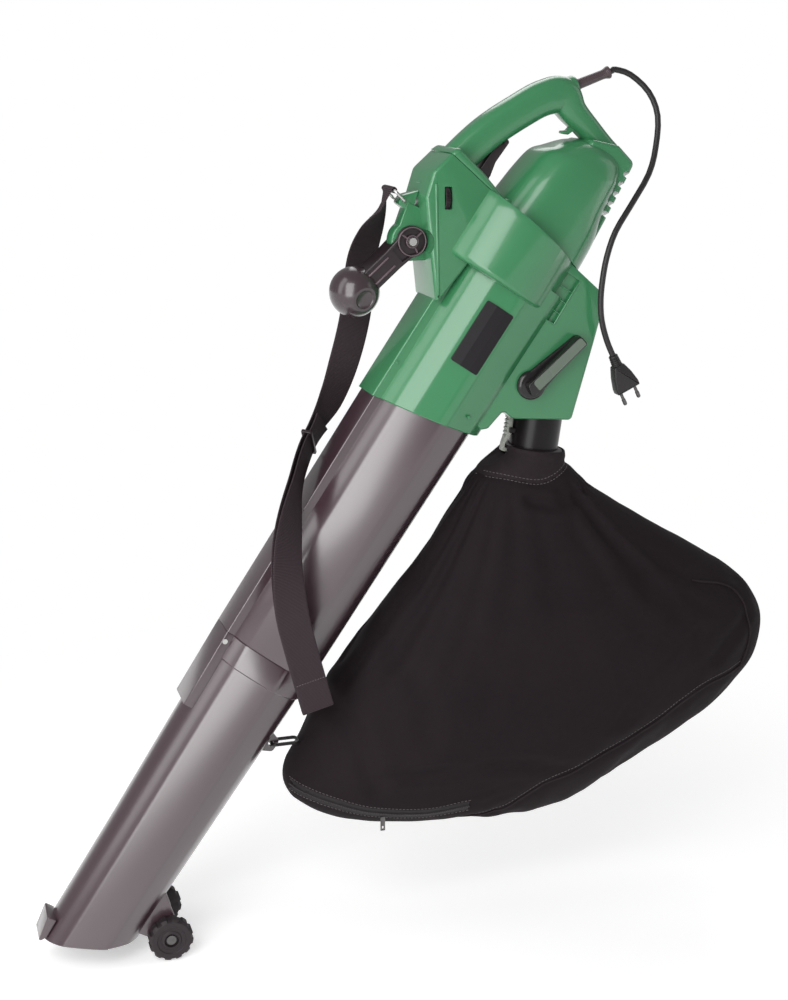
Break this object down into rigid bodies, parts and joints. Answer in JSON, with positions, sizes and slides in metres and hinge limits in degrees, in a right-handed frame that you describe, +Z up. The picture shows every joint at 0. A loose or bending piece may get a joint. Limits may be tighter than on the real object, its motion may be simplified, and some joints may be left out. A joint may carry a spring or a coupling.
{
  "type": "leaf blower vacuum",
  "caption": "Electric garden leaf blower vacuum in green and black, with jointed suction tube on wheels, adjustable front handle, shoulder strap, collection bag and cord",
  "frame": {"origin": "centre of the main handle's grip, where the machine is held up", "axes": "+X from the nozzle towards the bag and the cord; +Y across the machine, from its left side to its right; +Z up, with the machine held as it is used"},
  "size_m": [0.9497, 0.21, 1.0427],
  "materials": {
    "green_shell": "satin moulded plastic",
    "tube_plastic": "fine satin",
    "black_plastic": "satin",
    "grey_plastic": "satin",
    "tyre_rubber": "matte",
    "bag_fabric": "woven, matte",
    "strap_webbing": "woven webbing, matte",
    "bright_steel": "bright plated",
    "motor_steel": "plain",
    "copper_board": "coated board",
    "cord_rubber": "matte"
  },
  "bodies": {
    "machine": {"upper_tube": "tube_plastic", "lower_tube": "tube_plastic", "joint_screw": "bright_steel", "wheel_axle": "motor_steel", "front_housing_left": "green_shell", "front_housing_right": "green_shell", "rear_housing_left": "green_shell", "rear_housing_right": "green_shell", "badge_plate": "black_plastic", "pivot_bolt": "bright_steel", "pivot_nut": "bright_steel", "trigger_switch": "black_plastic", "speed_module": "copper_board", "motor": "motor_steel", "front_bearing": "bright_steel", "rear_bearing": "bright_steel", "fan_cover_plate": "black_plastic", "outlet_spout": "black_plastic", "bag_collar": "black_plastic", "catch_pin": "bright_steel", "collection_bag": "bag_fabric", "bag_clip": "motor_steel", "shoulder_strap": "strap_webbing", "strap_slide": "black_plastic", "cord_guard": "cord_rubber", "power_cord": "cord_rubber", "power_plug": "cord_rubber"},
    "front_handle": {"front_handle_fork": "black_plastic", "front_handle_knob": "black_plastic"},
    "strap_ring": {"strap_ring": "bright_steel"},
    "trigger": {"trigger": "black_plastic"},
    "speed_dial": {"speed_dial": "black_plastic"},
    "selector": {"selector_lever": "black_plastic", "selector_flap": "tube_plastic"},
    "rotor": {"rotor_shaft": "motor_steel", "impeller": "motor_steel"},
    "wheel_left": {"wheel_left": "tyre_rubber"},
    "wheel_right": {"wheel_right": "tyre_rubber"},
    "bag_catch": {"bag_catch": "grey_plastic"},
    "zip_puller": {"zip_puller": "bright_steel"}
  },
  "joints": [
    {"name": "front_handle_tilt", "type": "hinge", "parent": "machine", "child": "front_handle", "pos_m": [-0.11361, 0, -0.13446], "axis": [0, 1, 0], "range_deg": [-12, 38]},
    {"name": "strap_ring_tilt", "type": "hinge", "parent": "machine", "child": "strap_ring", "pos_m": [-0.12321, 0, -0.08878], "axis": [0, 1, 0], "range_deg": [-10, 45], "deforming": ["shoulder_strap"]},
    {"name": "trigger_press", "type": "hinge", "parent": "machine", "child": "trigger", "pos_m": [0.00111, 0, -0.02608], "axis": [0, 1, 0], "range_deg": [0, 6], "stiffness_Nm_per_rad": 2, "springref_deg": -3.44},
    {"name": "speed_dial_turn", "type": "hinge", "parent": "machine", "child": "speed_dial", "pos_m": [-0.07867, -0.03, -0.08445], "axis": [1, 0, 0], "range_deg": [0, 270]},
    {"name": "selector_turn", "type": "hinge", "parent": "machine", "child": "selector", "pos_m": [0.02208, 0, -0.30257], "axis": [0, 1, 0], "range_deg": [0, 90]},
    {"name": "rotor_spin", "type": "hinge", "parent": "machine", "child": "rotor", "pos_m": [0.01854, 0, -0.16207], "axis": [0.5592, 0, 0.829], "continuous": true},
    {"name": "wheel_left_roll", "type": "hinge", "parent": "machine", "child": "wheel_left", "pos_m": [-0.42523, -0.0425, -0.95679], "axis": [0, 1, 0], "continuous": true},
    {"name": "wheel_right_roll", "type": "hinge", "parent": "machine", "child": "wheel_right", "pos_m": [-0.42523, 0.0425, -0.95679], "axis": [0, 1, 0], "continuous": true},
    {"name": "bag_catch_press", "type": "hinge", "parent": "machine", "child": "bag_catch", "pos_m": [0.01521, 0, -0.36576], "axis": [0, 1, 0], "range_deg": [0, 8], "stiffness_Nm_per_rad": 0.3, "springref_deg": -5.73},
    {"name": "zip_puller_swing", "type": "hinge", "parent": "machine", "child": "zip_puller", "pos_m": [-0.1627, -0.06134, -0.829], "axis": [1, 0, 0], "range_deg": [-60, 0]}
  ]
}
